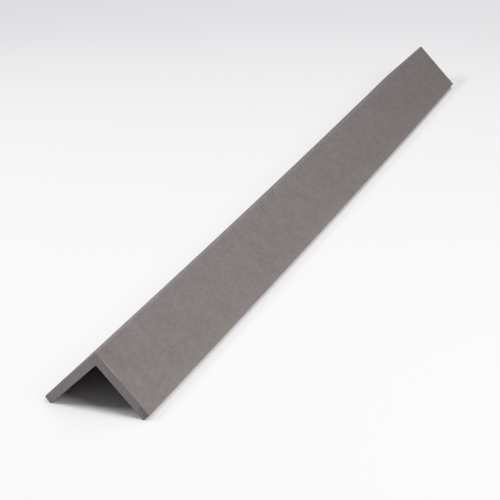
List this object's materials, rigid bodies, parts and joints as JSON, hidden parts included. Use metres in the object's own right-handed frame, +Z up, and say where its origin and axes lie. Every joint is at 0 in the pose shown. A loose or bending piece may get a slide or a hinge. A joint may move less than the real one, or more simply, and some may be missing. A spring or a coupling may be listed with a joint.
{
  "type": "composite decking edge trim",
  "caption": "Straight length of solid wood-plastic composite angle with equal square legs, glued or screwed over the raw edge of a deck to finish its corner.",
  "frame": {"origin": "on the floor under the middle of the ridge, half way along the length", "axes": "+Y along the length, from the near cut to the far one; +Z up, out of the ridge; +X to the right leg's tip"},
  "size_m": [0.0698, 0.75, 0.0388],
  "materials": {
    "wood_composite": "matte"
  },
  "bodies": {
    "root": {"edge_trim": "wood_composite"}
  },
  "joints": []
}
